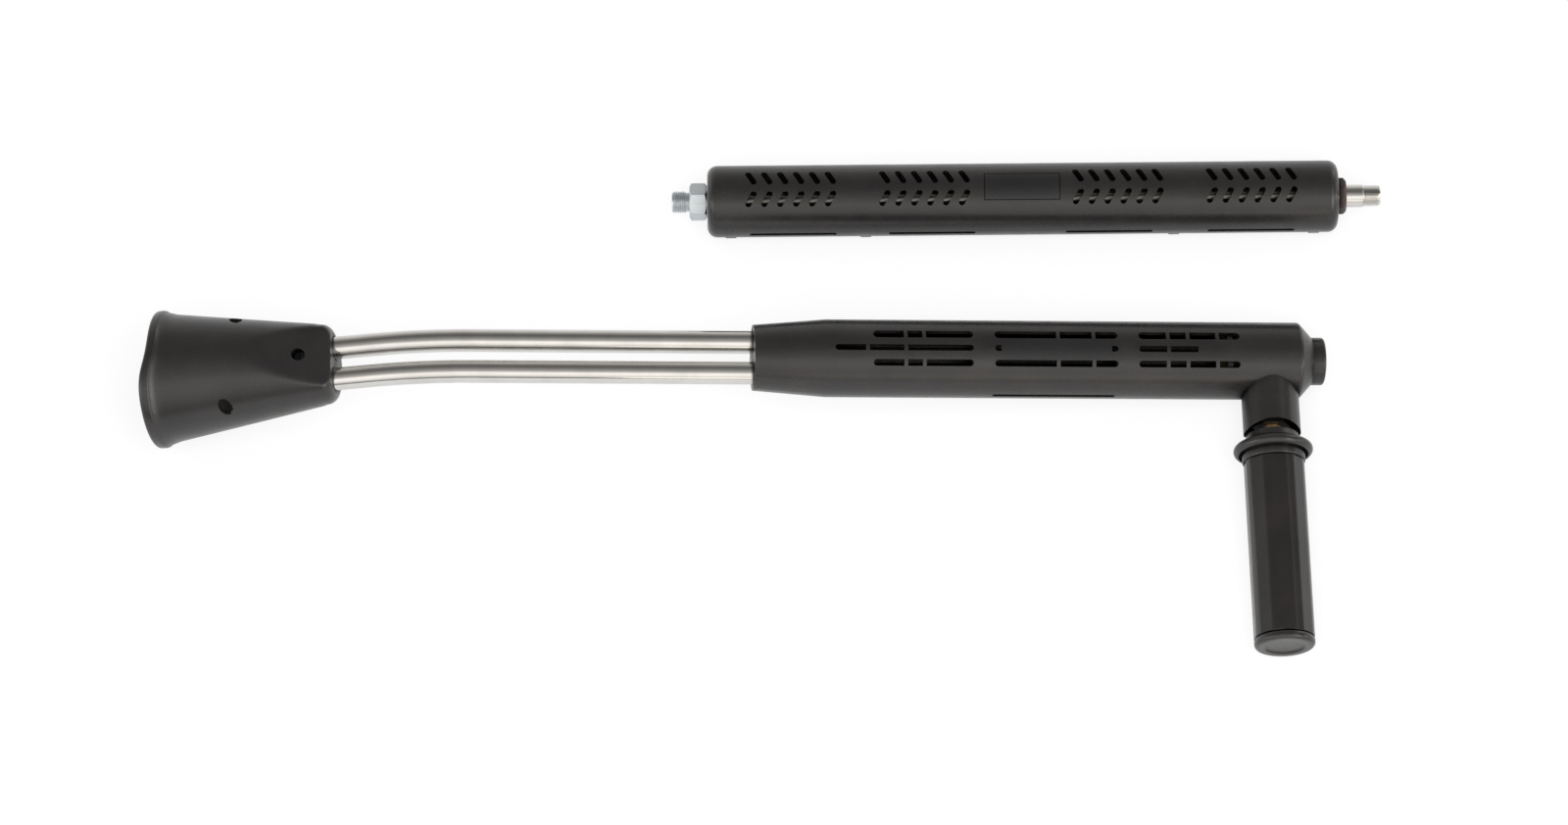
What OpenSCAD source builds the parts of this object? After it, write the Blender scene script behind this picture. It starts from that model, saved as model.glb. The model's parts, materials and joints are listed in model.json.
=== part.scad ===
// Twin-tube pressure-washer lance with a side grip valve, and its vented extension lance.
// Millimetres, +Z up. The parts lie on z = 0 as they are laid out on a bench.
// The lance's inlet points to +X, its side grip to -Y, and the extension lies on the +Y side.

/* [Lance housing] */
// Diameter of the handle housing
housing_d = 46; // [42:0.5:50]
// Wall of the housing shells
housing_wall = 2.6; // [2:0.1:3]
// Distance from the housing's front face to the grip axis
housing_front_l = 307; // [295:1:330]
// Distance from the grip axis to the housing's rear corner
housing_rear_l = 17.5; // [17:0.5:24]
// Diameter of the housing at its front face
nose_d = 39; // [38:0.5:41]
// Length of the tapered nose
nose_l = 43; // [30:1:60]
// Length of the cone behind the rear corner
tail_l = 8; // [7:0.5:12]
// Diameter of the inlet boss
boss_d = 28.3; // [27.5:0.1:32]
// Length of the inlet boss
boss_l = 7.5; // [6:0.5:12]
// Diameter of the stub that the grip valve comes out of
stub_d = 34; // [33:0.5:36]
// Length of the stub at its sides, from the housing axis
stub_l = 46.5; // [45.5:0.5:47.5]
// Depth of the arch cut in the stub's end
stub_arch = 4.2; // [2:0.2:5]

/* [Vents] */
// Width of the slots in the row towards the grip
vent_w = 4; // [3:0.1:4.4]
// Width of the slots in the row away from the grip
vent_far_w = 5.2; // [3:0.1:5.4]
// Width of the slots in the middle row
vent_mid_w = 3.6; // [3:0.1:4]
// Width of the bridges that divide a slot
bridge_w = 2.2; // [1.6:0.1:3]
// Angle between neighbouring rows of slots
vent_step = 22.5; // [20:0.5:25]
// Angle of the middle row from the top, towards the grip
vent_turn = 5; // [0:1:10]
// Height of the long slots at the housing's sides
side_slot_h = 3.2; // [2.4:0.2:4]

/* [Tubes] */
// Outside diameter of the lance tubes
tube_d = 13.5; // [12.5:0.1:13.7]
// Bore of the lance tubes
tube_bore = 9; // [7:0.2:10]
// Distance between the two tube axes
tube_pitch = 19.6; // [18.6:0.1:19.8]
// Angle that the tubes are bent down by
bend_angle = 15; // [8:1:20]
// Centre-line radius of the bend
bend_r = 230; // [120:10:280]
// Distance from the grip axis to the point where the bend's tangents cross
bend_l = 502; // [450:1:560]

/* [Nozzle protector] */
// Distance from the bend's crossing point to the protector's rear face
bell_off = 51.5; // [44:0.5:70]
// Length of the protector
bell_l = 109.5; // [100:0.5:124]
// Diameter of the protector at its rear
bell_rear_d = 48; // [47:0.5:52]
// Height of the flat on the protector's neck above its axis, at the rear
neck_flat_h = 12.1; // [11.5:0.1:14]
// Diameter of the cone just behind the lip
bell_front_d = 75; // [70:0.5:76]
// Diameter of the lip
lip_d = 81; // [80:0.5:88]
// Length of the lip's bead
lip_l = 7; // [6:0.5:10]
// Wall of the protector
bell_wall = 3; // [2.4:0.1:3.4]
// Width of a drain hole along the protector
drain_w = 7.6; // [6:0.2:9]
// Length of a drain hole round the protector
drain_l = 12.4; // [10:0.2:15]
// Bore of the screw hole
screw_hole_d = 7.6; // [7:0.1:9]

/* [Nozzles] */
// Width across flats of the nozzle holders
holder_af = 17; // [16:0.5:17.5]
// Length of the nozzle holders
holder_l = 26; // [24:1:32]
// Width across flats of the nozzles
nozzle_af = 13; // [12.5:0.5:14]
// Length of a nozzle beyond its holder
nozzle_l = 15; // [12:1:20]
// Orifice of the high-pressure nozzle
high_orifice = 1.4; // [1:0.1:2]
// Orifice of the low-pressure nozzle
low_orifice = 4; // [3:0.2:5]

/* [Valve] */
// Diameter of the needle's shaft
needle_d = 8; // [7:0.2:8.6]
// Bore of the valve seat
seat_bore = 6; // [5:0.2:6.4]
// Diameter of the spindle thread
spindle_d = 10.7; // [10:0.1:11]
// Travel of the needle from open to closed
valve_travel = 4.5; // [3:0.1:4.6]
// Gap between the stub's sides and the end of the grip collar when the valve is open
collar_gap = 1; // [1:0.1:2]

/* [Grip] */
// Diameter of the grip sleeve
grip_d = 35.8; // [34:0.2:37]
// Distance across the sleeve's flats
grip_flats = 34.8; // [33.8:0.1:36]
// Length of the sleeve
sleeve_l = 110; // [95:1:130]
// Diameter of the collar that slides into the stub
collar_d = 31.4; // [29:0.2:31.4]
// Diameter of the grip flange
flange_d = 47; // [42:0.5:47.6]
// Thickness of the flange's rim
flange_t = 6; // [5:0.5:8]
// Thickness of the end cap beyond the sleeve
cap_t = 4.5; // [4:0.5:8]

/* [Inlet] */
// Minor diameter of the inlet's G1/4 thread
inlet_minor_d = 11.44; // [11.4:0.01:11.6]
// Depth of the inlet's thread
inlet_depth = 12; // [10:1:13]

/* [Extension lance] */
// Diameter of the extension's sleeve
wand_d = 43; // [40:0.5:48]
// Length of the extension's sleeve
wand_l = 378; // [366:1:420]
// Wall of the extension's shells
wand_wall = 2.6; // [2:0.1:3.2]
// Radius of the sleeve's end corners
wand_round = 6; // [4:0.5:8]
// Outside diameter of the extension's pipe
pipe_d = 13.5; // [13.2:0.1:13.7]
// Bore of the extension's pipe
pipe_bore = 9; // [7:0.2:10]
// Major diameter of the G1/4 male threads
thread_d = 13.157; // [13.1:0.001:13.2]
// Crest diameter of the outlet's thread, which is cut on the pipe
outlet_thread_d = 12.82; // [12.7:0.01:12.84]
// Length of the G1/4 male threads
thread_l = 10.5; // [9:0.5:12]
// Width across flats of the inlet nipple
nipple_af = 19.5; // [19:0.5:22]
// Length of the inlet nipple's hexagon
nipple_l = 10.4; // [8:0.2:14]
// Length of the pipe that shows between the collar and its thread
pipe_neck = 10; // [6:0.5:16]
// Thickness of the hexagon collar at the outlet end
collar_t = 4.8; // [4:0.2:8]
// Width of a chevron slot
chevron_w = 3.6; // [2.6:0.1:4]
// Length of a chevron slot
chevron_l = 10.4; // [9:0.1:11]
// Distance between neighbouring chevrons
chevron_pitch = 9.5; // [9:0.1:10]
// Slant of a chevron slot from the ring direction
chevron_slant = 28; // [20:1:35]
// Number of chevrons in a group
chevron_count = 6; // [4:1:6]

/* [Layout] */
// Distance between the lance axis and the extension's axis at the extension's middle
wand_apart = 111; // [100:1:160]
// Turn of the extension out of parallel with the lance
wand_yaw = -1.1; // [-3:0.1:3]
// Distance from the grip axis back to the extension sleeve's left end
wand_back = 330; // [300:1:360]
// Turn of the extension about its own axis as it lies
wand_roll = 2; // [0:1:15]

/* [Clearances] */
// Radial gap between pieces that are fitted together
fit_gap = 0.05; // [0.04:0.01:0.08]
// Radial gap of turning and sliding pieces
run_gap = 0.06; // [0.03:0.01:0.09]
// Gap between pieces that move past each other
free_gap = 0.3; // [0.3:0.05:0.5]

/* [Hidden] */
$fn = 64;

housing_r = housing_d / 2;
housing_ir = housing_r - housing_wall;
nose_r = nose_d / 2;
boss_r = boss_d / 2;
boss_x = housing_rear_l + tail_l;
inlet_x = boss_x + boss_l;
stub_r = stub_d / 2;
stub_ir = stub_r - housing_wall;
// The stub's mouth is widened, so that the grip's collar slides into it
mouth_ir = collar_d / 2 + free_gap;
rear_round = 3;
tail_angle = atan((housing_r - boss_r) / tail_l);
rear_round_x = housing_rear_l - rear_round * tan(tail_angle / 2);
tube_r = tube_d / 2;
tube_y = tube_pitch / 2;

// Grip axis stations, measured from the housing axis towards the grip's end
collar_g = stub_l + collar_gap;
neck_end_g = stub_l + valve_travel + 0.5;
flange_g = neck_end_g + 2.5;
hub_g = flange_g + flange_t;
sleeve_g = hub_g + 4.8;
sleeve_end_g = sleeve_g + sleeve_l;
cap_seam = 0.8;
cap_g = sleeve_end_g + cap_seam;
grip_end_g = cap_g + cap_t;
flange_mid_g = flange_g + flange_t / 2;

// The lance rests on the lip of the protector, the housing's rear corner and the flange
lip_round = 2.5;
lip_x = -bell_off - bell_l + lip_round;
lip_low_r = lip_d / 2 - lip_round;
lip_low = [
    -bend_l + lip_x * cos(bend_angle) + lip_low_r * sin(bend_angle),
    lip_x * sin(bend_angle) - lip_low_r * cos(bend_angle)
];
rear_low = [rear_round_x, rear_round - housing_r];
rest_run = rear_low[0] - lip_low[0];
rest_rise = lip_low[1] - rear_low[1];
rest_pitch = asin((lip_round - rear_round) / norm([rest_run, rest_rise])) - atan2(rest_rise, rest_run);
lance_z = rear_low[0] * sin(rest_pitch) - rear_low[1] * cos(rest_pitch) + rear_round;
rest_roll = asin((lance_z - flange_d / 2) / flange_mid_g);

// Extension lance stations along its own axis, from the sleeve's left end
wand_r = wand_d / 2;
wand_ir = wand_r - wand_wall;
pipe_r = pipe_d / 2;
end_gap = 0.3;
nipple_x = -nipple_l - end_gap;
wand_tip_in = nipple_x - thread_l;
pipe_thread_x = wand_l + end_gap + collar_t + pipe_neck;
wand_tip_out = pipe_thread_x + thread_l;

// The origin is under the middle of the whole layout
wand_far_y = wand_apart + wand_r * cos(wand_yaw) - (wand_l / 2 - wand_round) * sin(wand_yaw);
lip_top = [
    -bend_l + lip_x * cos(bend_angle) - lip_low_r * sin(bend_angle),
    lip_x * sin(bend_angle) + lip_low_r * cos(bend_angle)
];
low_x = lip_top[0] * cos(rest_pitch) + lip_top[1] * sin(rest_pitch) - lip_round;
high_x = -wand_back + wand_l / 2 + (wand_tip_out - wand_l / 2) * cos(wand_yaw)
    + outlet_thread_d / 2 * sin(abs(wand_yaw));
origin_x = -(low_x + high_x) / 2;
origin_y = -(wand_far_y - grip_end_g * cos(rest_roll)) / 2;

plastic = [0.16, 0.15, 0.15];
steel = [0.78, 0.78, 0.8];
brass = [0.75, 0.6, 0.3];

// An arc as a list of points, for the corners of turned profiles
function arc(cx, cy, r, a0, a1, n = 8) =
    [for (i = [0:n]) [cx + r * cos(a0 + (a1 - a0) * i / n), cy + r * sin(a0 + (a1 - a0) * i / n)]];

// Radius of the protector's outside at a distance from its rear face
bell_cone_x0 = 7;
bell_cone_x1 = bell_l - lip_l - 6;
function bell_r_at(s) = bell_rear_d / 2
    + (bell_front_d - bell_rear_d) / 2 * (s - bell_cone_x0) / (bell_cone_x1 - bell_cone_x0);

module on_lance() {
    translate([origin_x, origin_y, lance_z]) rotate([rest_roll, rest_pitch, 0]) children();
}

module on_bend() {
    on_lance() translate([-bend_l, 0, 0]) rotate([0, -bend_angle, 0]) children();
}

// The protector's own frame: its axis runs from the rear face to the lip
module on_bell() {
    on_bend() translate([-bell_off, 0, 0]) rotate([0, -90, 0]) children();
}

module on_wand() {
    translate([origin_x - wand_back + wand_l / 2, origin_y + wand_apart, wand_r])
        rotate([0, 0, wand_yaw]) rotate([wand_roll, 0, 0]) translate([-wand_l / 2, 0, 0]) children();
}

// A turned shape along X
module turn_x() {
    rotate([0, 90, 0]) rotate_extrude() children();
}

// A cylinder along X between two stations
module rod_x(r, x0, x1, y = 0, z = 0) {
    translate([x0, y, z]) rotate([0, 90, 0]) cylinder(h = x1 - x0, r = r);
}

// A turned shape along the grip axis
module turn_g() {
    rotate([90, 0, 0]) rotate_extrude() children();
}

// A cylinder along the grip axis between two stations
module rod_g(r, g0, g1) {
    rotate([90, 0, 0]) translate([0, 0, g0]) cylinder(h = g1 - g0, r = r);
}

// A hexagonal bar along X with flats facing +Y and -Y
module hex_x(af, x0, x1) {
    translate([x0, 0, 0]) rotate([0, 90, 0]) cylinder(h = x1 - x0, r = af / 2 / cos(30), $fn = 6);
}

// Outline of a thread's crests and roots from z0 to z1
thread_pitch = 1.337;
thread_depth = 0.85;
function thread_profile(crest_r, root_r, z0, z1) = let (
    n = floor((z1 - z0 - 0.6) / thread_pitch),
    land = 0.5,
    flank = (thread_pitch - land - 0.2) / 2
) concat([[crest_r, z0]], [for (i = [0:n - 1], k = [0:3])
    [k == 0 || k == 3 ? crest_r : root_r,
     z0 + land + i * thread_pitch + (k == 0 ? 0 : k == 1 ? flank : k == 2 ? flank + 0.2 : 2 * flank + 0.2)]],
    [[crest_r, z1]]);

module male_thread(crest_r, root_r, z0, z1) {
    polygon(concat([[0, z0]], thread_profile(crest_r, root_r, z0, z1), [[0, z1]]));
}

// ---- Nozzle protector and nozzles ----

hub_s0 = 9;
hub_s1 = 27;
screw_s = 18.1;
// The neck's flat rises towards the mouth, so that it lies level
neck_flat_slant = 21.8;
neck_flat_at_screw = neck_flat_h + screw_s * tan(neck_flat_slant);
screw_r = 2.5;
screw_tip_h = 2;
// Depth of the screw head's seat below the protector's flat
screw_sink = 7;
screw_seat_h = neck_flat_at_screw - screw_sink;
// Angle round the protector, from the top towards the far side, and station of each drain hole
drains = [[57, 0.513], [-60, 0.569], [180, 0.55]];
holder_s = hub_s1 + 2;
holder_end_s = holder_s + holder_l;
holder_socket = 10;
// Room left at the end of a tube in its socket
socket_room = 0.5;
nozzle_thread_r = 6.2;
nozzle_thread_depth = 0.7;
nozzle_thread_l = 8.5;
washer_t = 1;

// A round-ended slot across a wall, standing on XY with its length along X
module slot(length, width, height) {
    straight = length - width;
    translate([-straight / 2, -width / 2, 0]) cube([straight, width, height]);
    for (end = [-1, 1]) translate([end * straight / 2, 0, 0]) cylinder(h = height, r = width / 2);
}

// Everything above the neck's flat, or above a plane that lies a given depth below it
module above_flat(depth = 0) {
    reach = 2 * lip_d;
    translate([neck_flat_h, 0, 0]) rotate([0, neck_flat_slant, 0])
        translate([-depth, -reach / 2, -reach / 2]) cube([reach, reach, 2 * reach]);
}

module nozzle_protector() {
    lip_r = lip_d / 2;
    corner = 7;
    lip_back = bell_l - lip_l + lip_round;
    mouth_round = 1.5;
    mouth_r = lip_r - bell_wall - 1;
    color(plastic) on_bell() difference() {
        rotate_extrude($fn = 96) polygon(concat(
            [[0, 0]],
            arc(bell_r_at(corner) - corner, corner, corner, -90, 0),
            [[bell_r_at(bell_cone_x1), bell_cone_x1]],
            arc(lip_r - lip_round, lip_back, lip_round, -60, 0, 5),
            arc(lip_r - lip_round, bell_l - lip_round, lip_round, 0, 90, 6),
            [[mouth_r, bell_l], [0, bell_l]]));
        above_flat();
        difference() {
            rotate_extrude($fn = 96) polygon(concat(
                [[0, bell_l + 1], [mouth_r, bell_l + 1]],
                arc(mouth_r, bell_l - mouth_round, mouth_round, 90, 180, 4),
                [[bell_r_at(bell_cone_x1) - bell_wall, bell_cone_x1]],
                [[bell_r_at(hub_s0) - bell_wall, hub_s0], [0, hub_s0]]));
            above_flat(bell_wall);
        }
        for (side = [-1, 1])
            translate([0, side * tube_y, -1]) cylinder(h = hub_s0 + 2, r = tube_r + fit_gap);
        for (hole = drains)
            rotate([0, 0, hole[0]]) translate([0, 0, hole[1] * bell_l]) rotate([0, 90, 0])
                rotate([0, 0, 90]) slot(drain_l, drain_w, lip_r);
        translate([0, 0, screw_s]) rotate([0, 90, 0]) cylinder(h = lip_r, r = screw_hole_d / 2);
    }
}

// The hub fills the protector's neck, holds the tubes apart and takes the screw
module nozzle_hub() {
    color("dimgray") on_bell() difference() {
        rotate_extrude($fn = 96) polygon([
            [0, hub_s0 + fit_gap],
            [bell_r_at(hub_s0) - bell_wall - 2 * fit_gap, hub_s0 + fit_gap],
            [bell_r_at(hub_s1) - bell_wall - 2 * fit_gap, hub_s1],
            [0, hub_s1]]);
        above_flat(bell_wall + 2 * fit_gap);
        for (side = [-1, 1])
            translate([0, side * tube_y, 0]) cylinder(h = hub_s1 + 1, r = tube_r + fit_gap);
        translate([0, 0, screw_s]) rotate([0, 90, 0]) {
            translate([0, 0, screw_tip_h - 1]) cylinder(h = bell_rear_d, r = screw_r + fit_gap);
            translate([0, 0, screw_seat_h - fit_gap]) cylinder(h = bell_rear_d, r = screw_hole_d / 2);
        }
    }
}

module protector_screw() {
    head_h = 2.4;
    head_r = screw_hole_d / 2 - free_gap;
    slit = 1;
    color(steel) on_bell() translate([0, 0, screw_s]) rotate([0, 90, 0]) difference() {
        union() {
            translate([0, 0, screw_tip_h]) cylinder(h = screw_seat_h - screw_tip_h, r = screw_r);
            translate([0, 0, screw_seat_h]) cylinder(h = head_h, r = head_r);
        }
        translate([-slit / 2, -head_r - 1, screw_seat_h + head_h - slit])
            cube([slit, 2 * head_r + 2, 2 * slit]);
    }
}

// The tube's wall is a little thinner through the bend, as bending leaves it
bend_thinning = 0.04;
// Gap between a tube's end and the floor of its socket in the valve block
block_end_gap = 0.2;

// A ring of the tube's wall, as it is drawn along the tube
module tube_ring(thinning = 0) {
    difference() {
        circle(r = tube_r - thinning / 2);
        circle(r = tube_bore / 2 + thinning / 2);
    }
}

// One tube, from the valve block through the bend to the nozzle holder
module lance_tube(side) {
    tangent = bend_r * tan(bend_angle / 2);
    straight = bend_l - tangent + block_x0 + tube_socket - block_end_gap;
    nozzle_run = bell_off + holder_s + holder_socket - socket_room - tangent;
    color(steel) on_lance() translate([-bend_l + tangent, side * tube_y, 0]) {
        rotate([0, 90, 0]) rotate([0, 0, 180]) linear_extrude(straight) tube_ring();
        translate([0, 0, -bend_r]) rotate([90, 0, 0]) rotate([0, 0, 90]) {
            rotate_extrude(angle = bend_angle) translate([bend_r, 0]) tube_ring(bend_thinning);
            rotate([0, 0, bend_angle]) translate([bend_r, 0, 0]) rotate([-90, 0, 0])
                linear_extrude(nozzle_run) tube_ring();
        }
    }
}

module high_pressure_tube() { lance_tube(1); }
module low_pressure_tube() { lance_tube(-1); }

module nozzle_holder(side) {
    color(brass) on_bell() translate([0, side * tube_y, 0]) difference() {
        translate([0, 0, holder_s]) cylinder(h = holder_l, r = holder_af / 2 / cos(30), $fn = 6);
        translate([0, 0, holder_s - 1]) cylinder(h = holder_socket + 1, r = tube_r + fit_gap);
        translate([0, 0, holder_s]) cylinder(h = holder_l, r = tube_bore / 2);
        translate([0, 0, holder_end_s - nozzle_thread_l - socket_room])
            cylinder(h = nozzle_thread_l + 2 * socket_room, r = nozzle_thread_r + fit_gap);
    }
}

module high_nozzle_holder() { nozzle_holder(1); }
module low_nozzle_holder() { nozzle_holder(-1); }

module nozzle(side, orifice) {
    base = holder_end_s + washer_t;
    hex_l = 7;
    shoulder_r = nozzle_af / 2 - 0.2;
    shoulder_l = 9;
    taper = 2.5;
    throat_r = 3;
    jet_l = 4;
    color(brass) on_bell() translate([0, side * tube_y, 0]) difference() {
        union() {
            rotate_extrude() male_thread(nozzle_thread_r, nozzle_thread_r - nozzle_thread_depth,
                holder_end_s - nozzle_thread_l, base);
            translate([0, 0, base]) cylinder(h = hex_l, r = nozzle_af / 2 / cos(30), $fn = 6);
            translate([0, 0, base]) cylinder(h = shoulder_l, r = shoulder_r);
            translate([0, 0, base + shoulder_l])
                cylinder(h = nozzle_l - shoulder_l, r1 = shoulder_r, r2 = shoulder_r - taper);
        }
        translate([0, 0, holder_end_s - nozzle_thread_l - 1])
            cylinder(h = nozzle_thread_l + 1 + washer_t + nozzle_l - jet_l, r = throat_r);
        translate([0, 0, holder_end_s]) cylinder(h = nozzle_l + 5, r = orifice / 2);
    }
}

module high_pressure_nozzle() { nozzle(1, high_orifice); }
module low_pressure_nozzle() { nozzle(-1, low_orifice); }

module nozzle_washers() {
    color("dimgray") on_bell() for (side = [-1, 1]) translate([0, side * tube_y, holder_end_s])
        difference() {
            cylinder(h = washer_t, r = nozzle_af / 2);
            translate([0, 0, -1]) cylinder(h = washer_t + 2, r = nozzle_thread_r + fit_gap);
        }
}

// ---- Lance housing ----

inlet_gap = 0.15;
inlet_r = boss_r - housing_wall - inlet_gap;

module housing_outline() {
    edge = 1.5;
    polygon(concat(
        [[0, -housing_front_l], [nose_r, -housing_front_l], [housing_r, -housing_front_l + nose_l]],
        arc(housing_r - rear_round, rear_round_x, rear_round, 0, tail_angle, 5),
        [[boss_r, boss_x]],
        arc(boss_r - edge, inlet_x - edge, edge, 0, 90, 5),
        [[0, inlet_x]]));
}

module housing_hollow() {
    bore_r = boss_r - housing_wall;
    front = -housing_front_l + housing_wall;
    polygon([[0, front], [nose_r - housing_wall, front], [housing_ir, -housing_front_l + nose_l],
        [housing_ir, rear_round_x - 1], [bore_r, boss_x - 1.5], [bore_r, inlet_x + 1], [0, inlet_x + 1]]);
}

// Stations along the housing grow and shrink with it
vent_scale = housing_front_l / 307;

// Stations of the clamps that hold the tubes in the housing
clamp_l = 12;
clamp_h = 18;
clamp_inset = 22;
clamp_x = [-housing_front_l + clamp_inset, -172 * vent_scale, -86.5 * vent_scale];
pillar_r = 3.6;
shank_r = 1.4;
head_r = 3;
head_h = 2.2;
head_z = -13;
shank_top = 17;
// How far ribs and pillars run into the shell's wall, so that they are one with it
wall_bite = 0.5;

function nose_ir_at(x) = min(housing_ir, nose_r - housing_wall
    + (housing_ir - nose_r + housing_wall) * (x + housing_front_l - housing_wall) / (nose_l - housing_wall));

// A row of slots cut through the shell's top, its bridges left standing
module vent_row(x0, length, bridges, width, square_end = false) {
    depth = housing_wall + 3;
    translate([0, 0, housing_ir - 1]) difference() {
        union() {
            translate([x0 + length / 2, 0, 0]) slot(length, width, depth);
            if (square_end) translate([x0 + length - width, -width / 2, 0])
                cube([width, width, depth]);
        }
        for (b = bridges) translate([x0 + b - bridge_w / 2, -width, -1])
            cube([bridge_w, 2 * width, depth + 2]);
    }
}

// Rows of slots: station of the row's front end, its length, and its bridges from that end
side_rows = vent_scale * [
    [-237.5, 59.1, [19.2, 30.1]],
    [-165.7, 73, [37.6, 58.7]],
    [-80.3, 60.3, [17.5, 29.3, 46.9]]
];
top_rows = vent_scale * [
    [-260.1, 81.7, [19.2, 41.8]],
    [-165.7, 73, []],
    [-80.3, 35.2, [17.7]]
];
label_inset = 3.6;
label_x = top_rows[1][0] + label_inset;
label_l = top_rows[1][1] - 2 * label_inset;
label_t = 0.6;
label_edge = 0.45;
label_half_angle = 15;

module housing_vents() {
    rotate([vent_turn, 0, 0]) {
        for (row = side_rows, side = [-1, 1])
            rotate([side * vent_step, 0, 0])
                vent_row(row[0], row[1], row[2], side > 0 ? vent_w : vent_far_w);
        for (i = [0:2])
            vent_row(top_rows[i][0], top_rows[i][1], top_rows[i][2], vent_mid_w, i == 2);
        label_sector(housing_r - label_t, housing_r + 1, label_x, label_l, label_half_angle, 0);
    }
}

// A piece of a ring centred on the top, grown or shrunk at its edges
module label_sector(r0, r1, x0, length, half_angle, shrink) {
    turn = half_angle - shrink / r1 * 180 / PI;
    translate([x0 + shrink, 0, 0]) rotate([-turn, 0, 0]) rotate([0, 90, 0]) rotate([0, 0, 180])
        rotate_extrude(angle = 2 * turn, $fn = 96)
            translate([r0, 0]) square([r1 - r0, length - 2 * shrink]);
}

module housing_label() {
    color("black") on_lance() rotate([vent_turn, 0, 0])
        label_sector(housing_r - label_t + fit_gap, housing_r, label_x, label_l,
            label_half_angle, fit_gap);
}

module housing_shell(top) {
    reach = housing_front_l + inlet_x + 2;
    arch_r = (stub_r * stub_r + stub_arch * stub_arch) / (2 * stub_arch);
    side_slot_l = top_rows[1][1];
    side_slot_x = top_rows[1][0] + side_slot_l / 2;
    rib_x = [block_x0 + 3, block_x1 - 6];
    rib_t = 3;
    nose_hole_r = tube_r + 3 * fit_gap;
    on_lance() intersection() {
        translate([-housing_front_l - 1, -stub_l - 1, top > 0 ? 0 : -housing_r - 1])
            cube([reach, stub_l + housing_r + 2, housing_r + 1]);
        difference() {
            union() {
                difference() {
                    union() {
                        turn_x($fn = 96) housing_outline();
                        rod_g(stub_r, 0, stub_l);
                    }
                    turn_x($fn = 96) housing_hollow();
                    rod_g(stub_ir, 0, stub_l + 1);
                    rod_g(mouth_ir, stub_l - valve_travel - stub_arch, stub_l + 1);
                    translate([0, stub_arch - stub_l - arch_r, -stub_r - 1])
                        cylinder(h = 2 * stub_r + 2, r = arch_r, $fn = 128);
                    for (side = [-1, 1]) {
                        rod_x(nose_hole_r, -housing_front_l - 1, -housing_front_l + 2 * housing_wall,
                            side * tube_y);
                        rotate([side * 90, 0, 0]) translate([side_slot_x, 0, housing_ir - 1])
                            slot(side_slot_l, side_slot_h, housing_wall + 3);
                    }
                    if (top > 0) housing_vents();
                }
                for (x = clamp_x) clamp_pillar(x, top);
                for (x = rib_x) difference() {
                    rod_x(housing_ir + wall_bite, x, x + rib_t);
                    translate([x - 1, -block_y - fit_gap, -block_z - fit_gap])
                        cube([rib_t + 2, 2 * (block_y + fit_gap), 2 * (block_z + fit_gap)]);
                    rod_g(stub_ir, 0, stub_l);
                }
            }
            for (x = clamp_x) clamp_bore(x, top);
        }
    }
}

// A pillar from the shell's wall to the clamp's face
module clamp_pillar(x, top) {
    wall_z = nose_ir_at(x - pillar_r) + wall_bite;
    foot = clamp_h / 2 + fit_gap;
    translate([x, 0, top > 0 ? foot : -wall_z]) cylinder(h = wall_z - foot, r = pillar_r);
}

module clamp_bore(x, top) {
    if (top > 0)
        translate([x, 0, 0]) cylinder(h = shank_top + 0.5, r = shank_r + fit_gap);
    else {
        translate([x, 0, -housing_r - 1]) cylinder(h = housing_r + 1, r = shank_r + 3 * fit_gap);
        translate([x, 0, -housing_r - 1])
            cylinder(h = housing_r + 1 + head_z, r = head_r + 3 * fit_gap);
    }
}

module housing_top_shell() { color(plastic) housing_shell(1); }
module housing_bottom_shell() { color(plastic) housing_shell(-1); }

module tube_clamp(x) {
    r = nose_ir_at(x - clamp_l / 2) - 2 * fit_gap;
    color("dimgray") on_lance() difference() {
        intersection() {
            rod_x(r, x - clamp_l / 2, x + clamp_l / 2);
            translate([x - clamp_l, -r - 1, -clamp_h / 2]) cube([2 * clamp_l, 2 * r + 2, clamp_h]);
        }
        for (side = [-1, 1])
            rod_x(tube_r + fit_gap, x - clamp_l, x + clamp_l, side * tube_y);
        translate([x, 0, -clamp_h]) cylinder(h = 2 * clamp_h, r = shank_r + fit_gap);
    }
}

module front_tube_clamp() { tube_clamp(clamp_x[0]); }
module middle_tube_clamp() { tube_clamp(clamp_x[1]); }
module rear_tube_clamp() { tube_clamp(clamp_x[2]); }

// A cross-head screw standing on its head, its shank pointing up
module cross_screw(length, r, cap_r, cap_h) {
    cross = 0.9;
    difference() {
        union() {
            translate([0, 0, -cap_h]) cylinder(h = cap_h, r = cap_r);
            cylinder(h = length, r = r);
        }
        for (turn = [0, 90]) rotate([0, 0, turn])
            translate([-cap_r * 0.6, -cross / 2, -cap_h - 1]) cube([cap_r * 1.2, cross, 1 + cross]);
    }
}

module housing_screws() {
    color(steel) on_lance() for (x = clamp_x)
        translate([x, 0, head_z]) cross_screw(shank_top - head_z, shank_r, head_r, head_h);
}

// ---- Valve and inlet ----

block_x0 = -30;
block_x1 = 12;
block_y = 17.5;
block_z = 9.5;
tube_socket = 10;
passage_r = 3.6;
cross_r = 4.6;
bore_lap = 0.9;
seat_g0 = 2;
seat_g1 = 5;
seat_r = 5.2;
chamber_r = 5.2;
gland_g0 = 18;
gland_r = 8;
gland_bore_g = 15;
neck_r = 12;
neck_root = 5;
neck_g = 38;
nut_g1 = 42.5;
nut_af = 20;
guide_g = 26;
inlet_socket_x = 6.5;
spigot_r = 6.8;

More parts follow.
